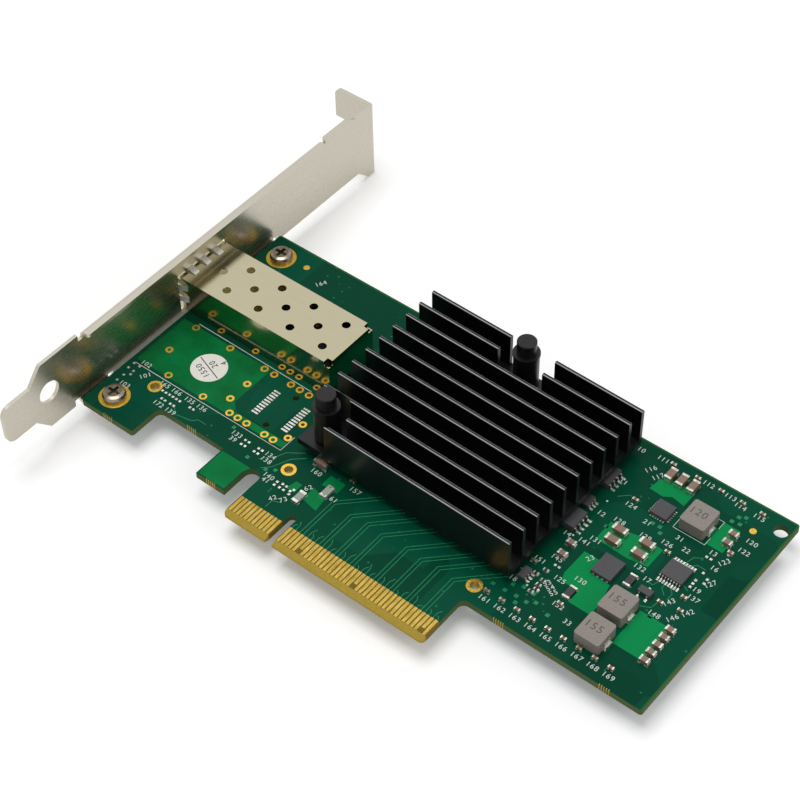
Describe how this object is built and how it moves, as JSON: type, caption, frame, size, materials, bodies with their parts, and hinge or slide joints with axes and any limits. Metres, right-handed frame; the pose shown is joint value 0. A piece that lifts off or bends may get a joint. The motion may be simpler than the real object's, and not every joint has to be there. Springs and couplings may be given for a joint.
{
  "type": "network interface card",
  "caption": "Expansion card with an edge connector, a caged fibre-module port through a slotted steel bracket, and a finned heat sink over its controller.",
  "frame": {"origin": "at the centre of the first edge contact, on the tip line of the edge connector, in the plane of the board's component face", "axes": "+X along the board away from the bracket, +Y from the connector tip up the board, +Z out of the component face"},
  "size_m": [0.1505, 0.12, 0.0226],
  "materials": {
    "solder_mask_board": "satin",
    "contact_gold": "bright",
    "bracket_steel": "satin",
    "screw_steel": "satin",
    "cage_metal": "satin",
    "black_anodised": "satin",
    "black_plastic": "matte",
    "package_black": "matte",
    "package_green": "satin",
    "silicon": "gloss",
    "thermal_grey": "matte",
    "spring_steel": "satin",
    "inductor_grey": "matte",
    "tinned_metal": "bright",
    "ceramic_tan": "satin",
    "resistor_black": "satin",
    "fuse_white": "matte",
    "label_paper": "matte"
  },
  "bodies": {
    "root": {"bracket": "bracket_steel", "bracket_screw_lower": "screw_steel", "bracket_screw_upper": "screw_steel", "capacitor_bodies": "ceramic_tan", "capacitor_ends": "tinned_metal", "circuit_board": "solder_mask_board", "controller_die": "silicon", "controller_package": "package_green", "driver_leads": "tinned_metal", "driver_package": "package_black", "edge_contacts_bottom": "contact_gold", "edge_contacts_top": "contact_gold", "fuse_bodies": "fuse_white", "fuse_ends": "tinned_metal", "heat_sink": "black_anodised", "inductor_a_core": "inductor_grey", "inductor_b_core": "inductor_grey", "inductor_c_core": "inductor_grey", "inductor_terminals": "tinned_metal", "logic_lower_leads": "tinned_metal", "logic_lower_package": "package_black", "logic_upper_leads": "tinned_metal", "logic_upper_package": "package_black", "memory_lower_leads": "tinned_metal", "memory_lower_package": "package_black", "memory_upper_leads": "tinned_metal", "memory_upper_package": "package_black", "pin_spring_front": "spring_steel", "pin_spring_rear": "spring_steel", "port_cage": "cage_metal", "port_connector": "black_plastic", "port_contacts": "contact_gold", "port_springs": "spring_steel", "power_stage_package": "package_black", "power_stage_terminals": "tinned_metal", "push_pin_front": "black_plastic", "push_pin_rear": "black_plastic", "regulator_package": "package_black", "resistor_bodies": "resistor_black", "resistor_ends": "tinned_metal", "round_label": "label_paper", "small_capacitor_bodies": "ceramic_tan", "small_capacitor_ends": "tinned_metal", "thermal_pad": "thermal_grey", "transistor_leads": "tinned_metal", "transistor_package": "package_black"}
  },
  "joints": []
}
